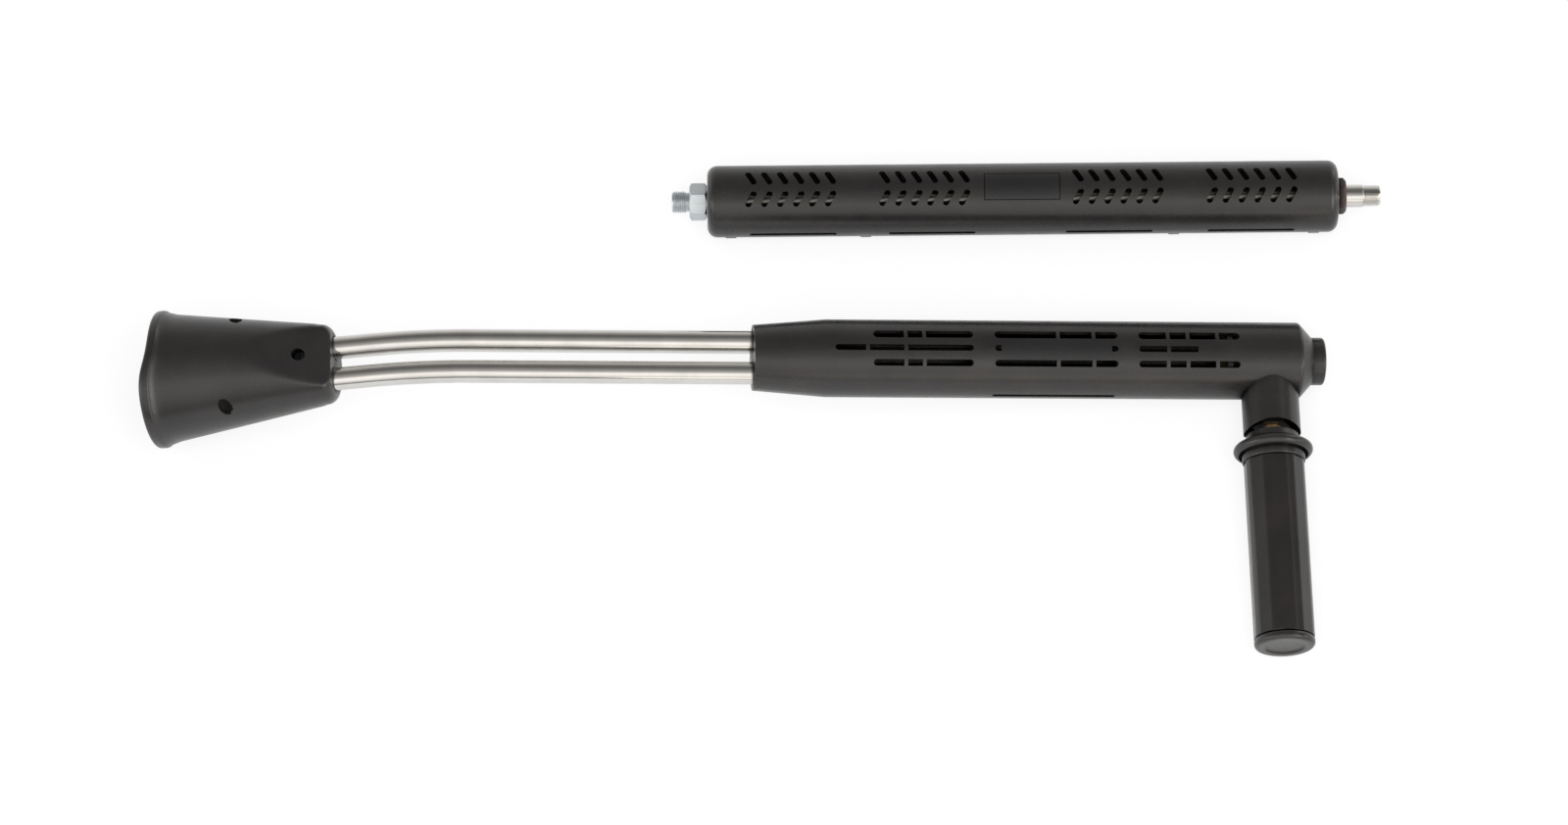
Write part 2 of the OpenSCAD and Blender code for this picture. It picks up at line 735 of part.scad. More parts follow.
module valve_block() {
    color(brass) on_lance() difference() {
        union() {
            translate([block_x0, -block_y, -block_z])
                cube([block_x1 - block_x0, 2 * block_y, 2 * block_z]);
            rod_g(neck_r, block_y - neck_root, neck_g);
        }
        for (side = [-1, 1]) {
            rod_x(tube_r + fit_gap, block_x0 - 1, block_x0 + tube_socket, side * tube_y);
            rod_x(passage_r, block_x0, bore_lap, side * tube_y);
        }
        rod_g(cross_r, -tube_y - passage_r - bore_lap, seat_g0 + 1);
        rod_g(seat_r + fit_gap, seat_g0, gland_bore_g + 1);
        rod_g(gland_r + fit_gap, gland_bore_g, neck_g + 1);
        rod_x(passage_r, -bore_lap, block_x1 + 1);
        rod_x(spigot_r + fit_gap, inlet_socket_x, block_x1 + 1);
    }
}

module valve_seat() {
    chamfer = 0.5;
    color("silver") on_lance() turn_g() polygon([
        [seat_bore / 2, seat_g0], [seat_r, seat_g0], [seat_r, seat_g1],
        [seat_bore / 2 + chamfer, seat_g1], [seat_bore / 2, seat_g1 - chamfer]]);
}

seal_g = [20, 23.4];
seal_t = 1.8;
seal_depth = 1.8;
gland_thread_depth = 0.7;
nut_g0 = neck_g + 0.1;

module gland_nut() {
    color(brass) on_lance() difference() {
        union() {
            turn_g() male_thread(gland_r, gland_r - gland_thread_depth, gland_g0, nut_g0);
            rotate([90, 0, 0]) translate([0, 0, nut_g0])
                cylinder(h = nut_g1 - nut_g0, r = nut_af / 2 / cos(30), $fn = 6);
        }
        rod_g(needle_d / 2 + run_gap, gland_g0 - 1, guide_g + 1);
        rod_g(spindle_d / 2 + run_gap, guide_g, nut_g1 + 1);
        for (g = seal_g) rod_g(needle_d / 2 + seal_depth, g, g + seal_t + 2 * fit_gap);
    }
}

module gland_seals() {
    color("black") on_lance() for (g = seal_g) turn_g()
        translate([needle_d / 2 + run_gap + (seal_depth - 2 * run_gap) / 2, g + fit_gap + seal_t / 2])
            circle(r = (seal_depth - 2 * run_gap) / 2);
}

inlet_hex_af = 19;
inlet_hex_l = 8;

module inlet_fitting() {
    hex_x1 = block_x1 + washer_t + inlet_hex_l;
    end_x = inlet_x - 0.4;
    edge = 0.8;
    root_r = inlet_r - 1.2;
    step = 0.2;
    land_x = boss_x - 1.2;
    color(brass) on_lance() difference() {
        union() {
            rod_x(spigot_r, inlet_socket_x + block_end_gap, block_x1 + washer_t + 1);
            hex_x(inlet_hex_af, block_x1 + washer_t, hex_x1);
            turn_x() polygon([[0, hex_x1 - 1], [root_r, hex_x1 - 1], [root_r, land_x - step],
                [inlet_r, land_x], [inlet_r, end_x - edge], [inlet_r - edge, end_x], [0, end_x]]);
        }
        rod_x(passage_r, inlet_socket_x - 1, end_x);
        turn_x() male_thread(inlet_minor_d / 2, thread_d / 2 - 0.1, end_x - inlet_depth, end_x + 0.01);
    }
}

inlet_washer_r = 9.4;

module inlet_washer() {
    color("peru") on_lance() difference() {
        rod_x(inlet_washer_r, block_x1, block_x1 + washer_t);
        rod_x(spigot_r + fit_gap, block_x1 - 1, block_x1 + washer_t + 1);
    }
}

// The needle slides without turning; its tail turns freely in the spindle
needle_tip_r = 1.5;
needle_tip_g = seat_g1 + 0.2 + valve_travel - (seat_bore / 2 - needle_tip_r);
needle_cone_g = needle_tip_g + needle_d / 2 - needle_tip_r;
needle_collar_r = 4.8;
needle_collar_t = 2.2;
needle_collar_g = gland_g0 - free_gap - needle_collar_t;
spindle_g = guide_g + valve_travel + 0.5;
tail_r = 2.5;
tail_end_g = spindle_g + 8;

module valve_needle() {
    color(steel) on_lance() turn_g() polygon([
        [0, needle_tip_g], [needle_tip_r, needle_tip_g], [needle_d / 2, needle_cone_g],
        [needle_d / 2, needle_collar_g], [max(needle_collar_r, needle_d / 2), needle_collar_g],
        [max(needle_collar_r, needle_d / 2), needle_collar_g + needle_collar_t],
        [needle_d / 2, needle_collar_g + needle_collar_t], [needle_d / 2, spindle_g - 0.1],
        [tail_r, spindle_g - 0.1], [tail_r, tail_end_g], [0, tail_end_g]]);
}

// ---- Grip, which turns with the spindle ----

square_w = 7.4;
square_g0 = 58;
square_g1 = 80;
web_t = 4;
shank_g0 = 70;
grip_washer_r = 6;
grip_screw_r = 2;
core_r = 14.5;
core_ir = 12;
hub_r = grip_d / 2 + 0.8;
spindle_thread_depth = 0.75;

module spindle() {
    color(brass) on_lance() difference() {
        union() {
            turn_g() male_thread(spindle_d / 2, spindle_d / 2 - spindle_thread_depth, spindle_g, square_g0);
            translate([-square_w / 2, -square_g1, -square_w / 2])
                cube([square_w, square_g1 - square_g0 + 1, square_w]);
        }
        rod_g(tail_r + run_gap, spindle_g - 1, tail_end_g + free_gap);
        rod_g(grip_screw_r + fit_gap, shank_g0 - 1, square_g1 + 1);
    }
}

module grip_core() {
    rim = flange_t / 2;
    flange_r = flange_d / 2;
    collar_r = collar_d / 2;
    edge = 0.8;
    flare = 2;
    flare_l = 1.2;
    groove_r = hub_r + 0.6;
    color(plastic) on_lance() difference() {
        turn_g($fn = 96) polygon(concat(
            [[0, collar_g], [collar_r - edge, collar_g], [collar_r, collar_g + edge],
             [collar_r, neck_end_g], [collar_r + flare, neck_end_g + flare_l]],
            arc(flange_r - rim, flange_mid_g, rim, -75, 90, 10),
            [[groove_r + 0.6, hub_g], [groove_r, hub_g - edge], [hub_r, hub_g - edge], [hub_r, sleeve_g],
             [core_r, sleeve_g], [core_r, cap_g], [0, cap_g]]));
        rod_g(spindle_d / 2 + fit_gap, collar_g - 1, square_g0 + fit_gap);
        translate([-square_w / 2 - fit_gap, -square_g1 - socket_room, -square_w / 2 - fit_gap])
            cube([square_w + 2 * fit_gap, square_g1 - square_g0 + 1, square_w + 2 * fit_gap]);
        rod_g(grip_screw_r + 2 * fit_gap, square_g1 - 1, square_g1 + web_t + 1);
        rod_g(core_ir, square_g1 + web_t, cap_g + 1);
    }
}

module grip_sleeve() {
    color(plastic) on_lance() difference() {
        intersection() {
            rod_g(grip_d / 2, sleeve_g, sleeve_end_g);
            rotate([90, 0, 0]) translate([0, 0, sleeve_g]) rotate([0, 0, 22.5])
                cylinder(h = sleeve_l, r = grip_flats / 2 / cos(22.5), $fn = 8);
        }
        rod_g(core_r + fit_gap, sleeve_g - 1, sleeve_end_g + 1);
    }
}

module grip_end_cap() {
    round = 3;
    cap_r = grip_d / 2;
    dish_r = 11.5;
    dish = 0.8;
    spigot = 7;
    color(plastic) on_lance() turn_g($fn = 96) polygon(concat(
        [[0, cap_g - spigot], [core_ir - fit_gap, cap_g - spigot], [core_ir - fit_gap, cap_g],
         [cap_r, cap_g]],
        arc(cap_r - round, grip_end_g - round, round, 0, 90, 6),
        [[dish_r + dish, grip_end_g], [dish_r, grip_end_g - dish], [0, grip_end_g - dish]]));
}

module grip_washer() {
    color(steel) on_lance() difference() {
        rod_g(grip_washer_r, square_g1 + web_t, square_g1 + web_t + washer_t);
        rod_g(grip_screw_r + 2 * fit_gap, square_g1, square_g1 + web_t + washer_t + 1);
    }
}

module grip_screw() {
    head_g = square_g1 + web_t + washer_t;
    cap_r = 3.8;
    cap_h = 2.8;
    color(steel) on_lance() rotate([90, 0, 0]) translate([0, 0, head_g]) rotate([180, 0, 0])
        cross_screw(head_g - shank_g0, grip_screw_r, cap_r, cap_h);
}

// ---- Extension lance ----

wand_scale = wand_l / 378;
wand_inset = 14;
wand_stations = [wand_inset, 95 * wand_scale, 280 * wand_scale, wand_l - wand_inset];
wand_screw_y = 13;
wand_pillar_r = 3.2;
spacer_l = 6;
spacer_hole_r = 2.6;
spacer_x = wand_scale * [83, 188, 291];
spigot_l = 6;
nipple_spigot_r = 9;
chevron_groups = wand_scale * [22, 102, 217.5, 297.5];
chevron_row = 18.5;
wand_label_x = 165.5 * wand_scale;
wand_label_l = 45.5 * wand_scale;
wand_label_half = 23.6;
wand_slot_x = wand_scale * [25.3, 108.5, 214.5, 299.5];
wand_slot_l = 52.2 * wand_scale;
wand_slot_w = 3.2;
wand_head_r = 2.5;
wand_head_z = -6;
wand_shank_top = 6;
web_back = 2.4;
web_low = 3;

module wand_outline(r, x0, x1, round) {
    polygon(concat([[0, x0]], arc(r - round, x0 + round, round, -90, 0),
        arc(r - round, x1 - round, round, 0, 90), [[0, x1]]));
}

module chevrons() {
    step_x = chevron_l * sin(chevron_slant) / 2 + chevron_w / 2;
    for (x = chevron_groups, i = [0:chevron_count - 1], side = [-1, 1])
        rotate([side * chevron_row, 0, 0])
            translate([x + step_x + i * chevron_pitch, 0, wand_ir - wall_bite - 1])
                rotate([0, 0, 90 - side * chevron_slant]) slot(chevron_l, chevron_w, wand_wall + 4);
}

module wand_shell(top) {
    on_wand() intersection() {
        translate([-1, -wand_r - 1, top > 0 ? 0 : -wand_r - 1])
            cube([wand_l + 2, 2 * wand_r + 2, wand_r + 1]);
        difference() {
            union() {
                difference() {
                    turn_x($fn = 96) wand_outline(wand_r, 0, wand_l, wand_round);
                    turn_x($fn = 96) wand_outline(wand_ir, wand_wall, wand_l - wand_wall,
                        max(wand_round - wand_wall, 0.5));
                    for (x = wand_slot_x, side = [-1, 1])
                        rotate([side * 90, 0, 0]) translate([x + wand_slot_l / 2, 0, wand_ir - 1])
                            slot(wand_slot_l, wand_slot_w, wand_wall + 3);
                    if (top > 0) {
                        chevrons();
                        label_sector(wand_r - label_t, wand_r + 1, wand_label_x, wand_label_l,
                            wand_label_half, 0);
                    }
                }
                for (x = wand_stations, y = [-wand_screw_y, wand_screw_y])
                    wand_pillar(x, y, top);
            }
            rod_x(nipple_spigot_r + fit_gap, -1, spigot_l + 1);
            rod_x(pipe_r + fit_gap, wand_l / 2, wand_l + 1);
            for (x = wand_stations, y = [-wand_screw_y, wand_screw_y]) wand_bore(x, y, top);
        }
    }
}

// Distance from the parting plane to just inside the wall at a place across the shell
function wand_wall_z(y) = sqrt(pow(wand_ir + wall_bite, 2) - pow(abs(y) + wand_pillar_r, 2));

module wand_pillar(x, y, top) {
    h = wand_wall_z(y);
    translate([x, y, top > 0 ? 0 : -h]) cylinder(h = h, r = wand_pillar_r);
    translate([x - wand_pillar_r, y > 0 ? y : -wand_ir - wall_bite, top > 0 ? 0 : -h])
        cube([2 * wand_pillar_r, wand_ir + wall_bite - wand_screw_y - web_back, h - web_low]);
}

module wand_bore(x, y, top) {
    if (top > 0)
        translate([x, y, -1]) cylinder(h = wand_shank_top + 2, r = shank_r + fit_gap);
    else {
        translate([x, y, -wand_r]) cylinder(h = wand_r + 1, r = shank_r + 3 * fit_gap);
        translate([x, y, -wand_r]) cylinder(h = wand_r + wand_head_z, r = wand_head_r + 3 * fit_gap);
    }
}

module wand_top_shell() { color(plastic) wand_shell(1); }
module wand_bottom_shell() { color(plastic) wand_shell(-1); }

module wand_label() {
    color("black") on_wand()
        label_sector(wand_r - label_t + fit_gap, wand_r, wand_label_x, wand_label_l,
            wand_label_half, label_edge);
}

module wand_screws() {
    color(steel) on_wand() for (x = wand_stations, y = [-wand_screw_y, wand_screw_y])
        translate([x, y, wand_head_z])
            cross_screw(wand_shank_top - wand_head_z, shank_r, wand_head_r, head_h);
}

module wand_pipe() {
    color(steel) on_wand() difference() {
        union() {
            rod_x(pipe_r, -spigot_l, pipe_thread_x);
            turn_x() male_thread(outlet_thread_d / 2, outlet_thread_d / 2 - thread_depth,
                pipe_thread_x, wand_tip_out);
        }
        rod_x(pipe_bore / 2, -spigot_l - 1, wand_tip_out + 1);
    }
}

module wand_inlet_nipple() {
    color(steel) on_wand() difference() {
        union() {
            turn_x() male_thread(thread_d / 2, thread_d / 2 - thread_depth, wand_tip_in, nipple_x);
            hex_x(nipple_af, nipple_x, nipple_x + nipple_l);
            rod_x(nipple_spigot_r, nipple_x + nipple_l - 0.5, spigot_l);
        }
        rod_x(pipe_bore / 2, wand_tip_in - 1, spigot_l + 1);
        rod_x(pipe_r + fit_gap, -spigot_l - block_end_gap, spigot_l + 1);
    }
}

collar_af = nipple_af - 0.4;

module wand_outlet_collar() {
    color([0.3, 0.22, 0.17]) on_wand() difference() {
        hex_x(collar_af, wand_l + end_gap, wand_l + end_gap + collar_t);
        rod_x(pipe_r + fit_gap, wand_l, wand_l + collar_t + 1);
    }
}

module wand_spacers() {
    color("dimgray") on_wand() for (x = spacer_x) difference() {
        rod_x(wand_ir - 2 * fit_gap, x - spacer_l / 2, x + spacer_l / 2);
        rod_x(pipe_r + fit_gap, x - spacer_l, x + spacer_l);
        for (turn = [30:60:330]) rotate([turn, 0, 0])
            rod_x(spacer_hole_r, x - spacer_l, x + spacer_l, 0, (wand_ir + pipe_r) / 2);
    }
}

nozzle_protector();
protector_screw();
nozzle_hub();
high_pressure_tube();
low_pressure_tube();
high_nozzle_holder();
low_nozzle_holder();
high_pressure_nozzle();
low_pressure_nozzle();
nozzle_washers();
housing_top_shell();
housing_bottom_shell();
housing_label();
front_tube_clamp();
middle_tube_clamp();
rear_tube_clamp();
housing_screws();
valve_block();
valve_seat();
gland_nut();
gland_seals();
inlet_fitting();
inlet_washer();
valve_needle();
spindle();
grip_core();
grip_sleeve();
grip_end_cap();
grip_screw();
grip_washer();
wand_top_shell();
wand_bottom_shell();
wand_label();
wand_pipe();
wand_inlet_nipple();
wand_outlet_collar();
wand_spacers();
wand_screws();
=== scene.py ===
import bpy, bmesh, json, math
from mathutils import Matrix, Vector


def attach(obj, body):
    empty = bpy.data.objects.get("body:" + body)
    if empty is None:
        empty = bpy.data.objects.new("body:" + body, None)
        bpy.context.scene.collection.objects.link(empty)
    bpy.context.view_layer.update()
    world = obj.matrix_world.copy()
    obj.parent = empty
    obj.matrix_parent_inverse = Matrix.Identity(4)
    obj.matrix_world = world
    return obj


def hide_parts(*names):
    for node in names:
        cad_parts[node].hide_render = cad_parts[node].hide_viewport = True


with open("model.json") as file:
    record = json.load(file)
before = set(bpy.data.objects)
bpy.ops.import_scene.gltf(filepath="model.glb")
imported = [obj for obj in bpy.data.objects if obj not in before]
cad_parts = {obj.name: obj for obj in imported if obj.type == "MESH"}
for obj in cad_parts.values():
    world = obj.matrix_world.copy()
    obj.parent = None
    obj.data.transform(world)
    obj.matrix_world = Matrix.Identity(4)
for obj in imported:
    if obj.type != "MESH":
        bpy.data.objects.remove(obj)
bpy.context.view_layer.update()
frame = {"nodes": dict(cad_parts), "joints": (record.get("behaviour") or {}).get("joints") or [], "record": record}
nodes = frame["nodes"]
record = frame["record"]

# ---- Where the lance and the extension lie ----
# The lance's own axes start where its housing crosses the grip: +X to the inlet, -Y along the grip.
# The extension's axes start at its sleeve's left end and run along its pipe.
joints = {joint["name"]: joint for joint in frame["joints"]}
mounts = {mount["name"]: mount for mount in record["mounts"]}
grip_joint_out = 0.110
wand_length = 0.4036
wand_roll = math.radians(2)
outlet_mount_back = 0.00525


def own_axes(x_axis, y_axis, origin):
    turn = Matrix((x_axis, y_axis, x_axis.cross(y_axis))).transposed().to_4x4()
    return Matrix.Translation(origin) @ turn


lance_x = Vector(mounts["lance_inlet"]["axis"]).normalized()
lance_y = -Vector(joints["grip_turn"]["axis"]).normalized()
lance_origin = Vector(joints["grip_turn"]["pos_m"]) + grip_joint_out * lance_y
lance_frame = own_axes(lance_x, lance_y, lance_origin)
wand_x = Vector(mounts["extension_outlet"]["axis"]).normalized()
wand_y = Vector((0, 0, 1)).cross(wand_x).normalized()
wand_tip = Vector(mounts["extension_outlet"]["pos_m"]) + outlet_mount_back * wand_x
wand_frame = (own_axes(wand_x, wand_y, wand_tip) @ Matrix.Rotation(wand_roll, 4, "X")
              @ Matrix.Translation((-wand_length, 0, 0)))

# ---- Black plastic of the housing, the protector, the grip and the extension's sleeve ----
# Glass-filled nylon, moulded in tools with a fine spark finish. It is satin rather than matt,
# faintly blotched where the melt met, and rubbed smoother in places.
def feed(tree, value, socket):
    """Links the value to the socket, or sets it there if it is a constant."""
    if isinstance(value, bpy.types.NodeSocket):
        tree.links.new(value, socket)
    else:
        socket.default_value = value


def maths(tree, operation, *values):
    node = tree.nodes.new("ShaderNodeMath")
    node.operation = operation
    for value, socket in zip(values, node.inputs):
        feed(tree, value, socket)
    return node.outputs[0]


def noise(tree, vector, scale, detail=4, roughness=0.55):
    node = tree.nodes.new("ShaderNodeTexNoise")
    node.inputs["Detail"].default_value = detail
    node.inputs["Roughness"].default_value = roughness
    feed(tree, scale, node.inputs["Scale"])
    feed(tree, vector, node.inputs["Vector"])
    return node.outputs["Fac"]


def remap(tree, value, low, high, to_low, to_high):
    node = tree.nodes.new("ShaderNodeMapRange")
    feed(tree, value, node.inputs["Value"])
    for label, number in (("From Min", low), ("From Max", high), ("To Min", to_low), ("To Max", to_high)):
        node.inputs[label].default_value = number
    return node.outputs["Result"]


def blend_colours(tree, factor, first, second):
    node = tree.nodes.new("ShaderNodeMix")
    node.data_type = "RGBA"
    colour_a, colour_b = node.inputs[6], node.inputs[7]
    for value, socket in ((factor, node.inputs[0]), (first, colour_a), (second, colour_b)):
        feed(tree, value, socket)
    return node.outputs[2]


def opaque(colour):
    return (*colour, 1)


def shader_group(name, inputs, outputs):
    group = bpy.data.node_groups.new(name, "ShaderNodeTree")
    for label, kind, value in inputs:
        socket = group.interface.new_socket(label, in_out="INPUT", socket_type=kind)
        socket.default_value = value
    for label, kind in outputs:
        group.interface.new_socket(label, in_out="OUTPUT", socket_type=kind)
    start = group.nodes.new("NodeGroupInput")
    end = group.nodes.new("NodeGroupOutput")
    return group, start.outputs, end.inputs


moulded, m_in, m_out = shader_group("moulded_plastic", [
    ("Vector", "NodeSocketVector", (0, 0, 0)),
    ("Colour", "NodeSocketColor", (0.05, 0.05, 0.05, 1)),
    ("Blotch Colour", "NodeSocketColor", (0.06, 0.055, 0.055, 1)),
    ("Grain", "NodeSocketFloat", 1600.0),
    ("Roughness", "NodeSocketFloat", 0.5),
    ("Openness", "NodeSocketFloat", 1.0)], [
    ("Colour", "NodeSocketColor"), ("Roughness", "NodeSocketFloat"), ("Height", "NodeSocketFloat")])
# Painted shade: where Openness is low (slots, drains, joints), the colour is blended towards near-black.
shadow_colour = opaque((0.002, 0.002, 0.002))
blotch = remap(moulded, noise(moulded, m_in["Vector"], 38.0), 0.35, 0.7, 0.0, 1.0)
rubbed = remap(moulded, noise(moulded, m_in["Vector"], 90.0, 5, 0.6), 0.3, 0.75, -0.05, 0.06)
speck = noise(moulded, m_in["Vector"], m_in["Grain"], 2, 0.6)
open_colour = blend_colours(moulded, blotch, m_in["Colour"], m_in["Blotch Colour"])
shaded_colour = blend_colours(moulded, m_in["Openness"], shadow_colour, open_colour)
feed(moulded, shaded_colour, m_out["Colour"])
feed(moulded, maths(moulded, "ADD", m_in["Roughness"], rubbed), m_out["Roughness"])
feed(moulded, speck, m_out["Height"])


def new_material(name):
    material = bpy.data.materials.new(name)
    material.use_nodes = True
    tree = material.node_tree
    return material, tree, tree.nodes["Principled BSDF"]


def place_group(tree, group, values):
    node = tree.nodes.new("ShaderNodeGroup")
    node.node_tree = group
    where = tree.nodes.new("ShaderNodeTexCoord")
    feed(tree, where.outputs["Object"], node.inputs["Vector"])
    for label, value in values.items():
        feed(tree, value, node.inputs[label])
    return node.outputs


def add_bump(tree, shader, height, distance, strength=1.0):
    bump = tree.nodes.new("ShaderNodeBump")
    bump.inputs["Distance"].default_value = distance
    bump.inputs["Strength"].default_value = strength
    feed(tree, height, bump.inputs["Height"])
    feed(tree, bump.outputs["Normal"], shader.inputs["Normal"])


def openness(tree):
    """1 on open faces, down to 0 in slots, drains and joints, where little light reaches in; the plastic uses it
    to paint shade there.
    """
    corners = tree.nodes.new("ShaderNodeAmbientOcclusion")
    corners.samples = 6
    corners.inputs["Distance"].default_value = 0.006
    return remap(tree, corners.outputs["AO"], 0.6, 0.92, 0.0, 1.0)


def plastic(name, colour, blotch_colour, roughness, grain=1500.0):
    material, tree, shader = new_material(name)
    open_share = openness(tree)
    surface = place_group(tree, moulded, {
        "Colour": opaque(colour), "Blotch Colour": opaque(blotch_colour), "Grain": grain,
        "Roughness": roughness, "Openness": open_share})
    feed(tree, surface["Colour"], shader.inputs["Base Color"])
    feed(tree, surface["Roughness"], shader.inputs["Roughness"])
    # Painted shade: the specular level falls with Openness, so slots, drains and joints reflect less.
    feed(tree, remap(tree, open_share, 0, 1, 0, 0.5), shader.inputs["Specular IOR Level"])
    add_bump(tree, shader, surface["Height"], 0.00006, 0.6)
    shader.inputs["IOR"].default_value = 1.5
    return material


black_nylon = plastic("black_nylon", (0.019, 0.0175, 0.0172), (0.027, 0.0242, 0.0235), 0.27)
grip_vinyl = plastic("grip_vinyl", (0.0175, 0.016, 0.0155), (0.024, 0.021, 0.020), 0.22, 2200.0)
hub_nylon = plastic("hub_nylon", (0.018, 0.016, 0.0155), (0.022, 0.02, 0.019), 0.5)
brown_nylon = plastic("brown_nylon", (0.060, 0.038, 0.034), (0.082, 0.052, 0.046), 0.45)
label_film = plastic("label_film", (0.017, 0.017, 0.0175), (0.021, 0.0205, 0.021), 0.29, 2600.0)
black_rubber = plastic("black_rubber", (0.022, 0.022, 0.022), (0.03, 0.03, 0.03), 0.7)

# ---- Stainless steel, zinc, brass and copper ----
# The tubes and the pipe are drawn and polished, so fine lines run along them. The hexagons and
# threads are turned, and the zinc plate on the inlet nipple is paler and duller.
drawn, d_in, d_out = shader_group("drawn_metal", [
    ("Vector", "NodeSocketVector", (0, 0, 0)),
    ("Colour", "NodeSocketColor", (0.7, 0.7, 0.7, 1)),
    ("Worn Colour", "NodeSocketColor", (0.6, 0.6, 0.6, 1)),
    ("Roughness", "NodeSocketFloat", 0.15),
    ("Roughness Spread", "NodeSocketFloat", 0.06)], [
    ("Colour", "NodeSocketColor"), ("Roughness", "NodeSocketFloat"), ("Height", "NodeSocketFloat")])
stretch = drawn.nodes.new("ShaderNodeMapping")
stretch.inputs["Scale"].default_value = (6, 1400, 1400)
feed(drawn, d_in["Vector"], stretch.inputs["Vector"])
streaks = noise(drawn, stretch.outputs["Vector"], 1.0, 3)
smudges = remap(drawn, noise(drawn, d_in["Vector"], 60.0, 5, 0.6), 0.4, 0.75, 0, 1)
uneven = remap(drawn, streaks, 0.3, 0.7, -0.5, 1.0)
streaked = maths(drawn, "MULTIPLY_ADD", uneven, d_in["Roughness Spread"], d_in["Roughness"])
feed(drawn, blend_colours(drawn, smudges, d_in["Colour"], d_in["Worn Colour"]), d_out["Colour"])
feed(drawn, streaked, d_out["Roughness"])
feed(drawn, streaks, d_out["Height"])


def metal(name, colour, worn_colour, roughness, roughness_spread=0.06):
    material, tree, shader = new_material(name)
    surface = place_group(tree, drawn, {
        "Colour": opaque(colour), "Worn Colour": opaque(worn_colour), "Roughness": roughness,
        "Roughness Spread": roughness_spread})
    feed(tree, surface["Colour"], shader.inputs["Base Color"])
    feed(tree, surface["Roughness"], shader.inputs["Roughness"])
    add_bump(tree, shader, surface["Height"], 0.000004, 0.4)
    shader.inputs["Metallic"].default_value = 1.0
    return material


def metal_under_covers(name, finish, hidden_from, hidden_to, shade_colour, dulled):
    """The finish, darker and duller between two places along X, where it runs under a cover: painted shade, since
    little light reaches in there.
    """
    fade = 0.001
    material = finish.copy()
    material.name = name
    tree = material.node_tree
    shader = tree.nodes["Principled BSDF"]
    where = tree.nodes.new("ShaderNodeTexCoord")
    split = tree.nodes.new("ShaderNodeSeparateXYZ")
    feed(tree, where.outputs["Object"], split.inputs[0])
    past_start = remap(tree, split.outputs["X"], hidden_from - fade, hidden_from + fade, 0.0, 1.0)
    before_end = remap(tree, split.outputs["X"], hidden_to - fade, hidden_to + fade, 1.0, 0.0)
    hidden = maths(tree, "MULTIPLY", past_start, before_end)
    unshaded_colour = shader.inputs["Base Color"].links[0].from_socket
    rough = shader.inputs["Roughness"].links[0].from_socket
    # Painted shade: the colour blends to the dark shade colour where the metal runs under a cover.
    feed(tree, blend_colours(tree, hidden, unshaded_colour, opaque(shade_colour)), shader.inputs["Base Color"])
    feed(tree, maths(tree, "MULTIPLY_ADD", hidden, dulled, rough), shader.inputs["Roughness"])
    return material


polished_steel = metal("polished_steel", (0.68, 0.667, 0.646), (0.61, 0.597, 0.576), 0.09)
# The tubes inside the housing and the pipe inside the sleeve get painted shade.
tube_steel = metal_under_covers("tube_steel", polished_steel, -0.0105, 0.40, (0.035, 0.033, 0.029), 0.3)
pipe_steel = metal_under_covers("pipe_steel", polished_steel, -0.0335, 0.343, (0.30, 0.285, 0.26), 0.16)
blackened_steel = metal("blackened_steel", (0.05, 0.05, 0.052), (0.03, 0.03, 0.03), 0.45)
zinc_plate = metal("zinc_plate", (0.64, 0.685, 0.715), (0.57, 0.61, 0.635), 0.46, 0.1)
turned_brass = metal("turned_brass", (0.92, 0.78, 0.52), (0.80, 0.64, 0.38), 0.3)
copper_ring = metal("copper_ring", (0.80, 0.42, 0.28), (0.55, 0.28, 0.18), 0.3)

# ---- Finishes of the solids ----
# Every solid takes the finish of its slot in the record. The lance's two tubes are painted darker where they run
# inside the housing, as painted shade.
by_slot = {"black_plastic": black_nylon, "hub_plastic": hub_nylon, "stainless": polished_steel,
           "zinc": zinc_plate, "black_steel": blackened_steel, "brass": turned_brass,
           "brown_plastic": brown_nylon, "rubber": black_rubber, "copper": copper_ring,
           "label": label_film}
for part in record["subparts"]:
    is_tube = part["node"].endswith("pressure_tube")
    finishes = nodes[part["node"]].data.materials
    finishes.clear()
    finishes.append(tube_steel if is_tube else by_slot[part["material_slot"]])

# ---- Nozzle protector ----
# A moulded bell over the nozzles. It is spun as one wall, its mouth is pulled out of square and its
# neck pressed flat on top as on the real one, and the bores, drains and screw hole are cut through.
bend_station = -0.502
bend_turn = math.radians(-15)
bell_past_bend = 0.0515
bell_long = 0.1095
bell_wall = 0.003
neck_r = 0.024
neck_round = 0.007
neck_floor = 0.009
cone_start = 0.007
cone_end = 0.0965
mouth_r = 0.0375
lip_r = 0.0405
lip_long = 0.007
lip_round = 0.0024
inner_round = 0.0014
base_gap = 0.0003
bell_frame = (lance_frame @ Matrix.Translation((bend_station, 0, 0))
              @ Matrix.Rotation(bend_turn, 4, "Y") @ Matrix.Translation((-bell_past_bend, 0, 0))
              @ Matrix.Rotation(math.radians(-90), 4, "Y"))


def cone_r(s):
    return neck_r + (mouth_r - neck_r) * (s - cone_start) / (cone_end - cone_start)


def between(start, end, count):
    """The places that split a length into equal steps, both ends included."""
    return [start + (end - start) * i / count for i in range(count + 1)]


def bend(cx, cy, r, from_deg, to_deg, steps):
    angles = [math.radians(degrees) for degrees in between(from_deg, to_deg, steps)]
    return [(cx + r * math.cos(a), cy + r * math.sin(a)) for a in angles]


def finished(name, work):
    """Makes an object of the scene from a bmesh and frees the bmesh."""
    mesh = bpy.data.meshes.new(name)
    work.to_mesh(mesh)
    work.free()
    piece = bpy.data.objects.new(name, mesh)
    bpy.context.scene.collection.objects.link(piece)
    return piece


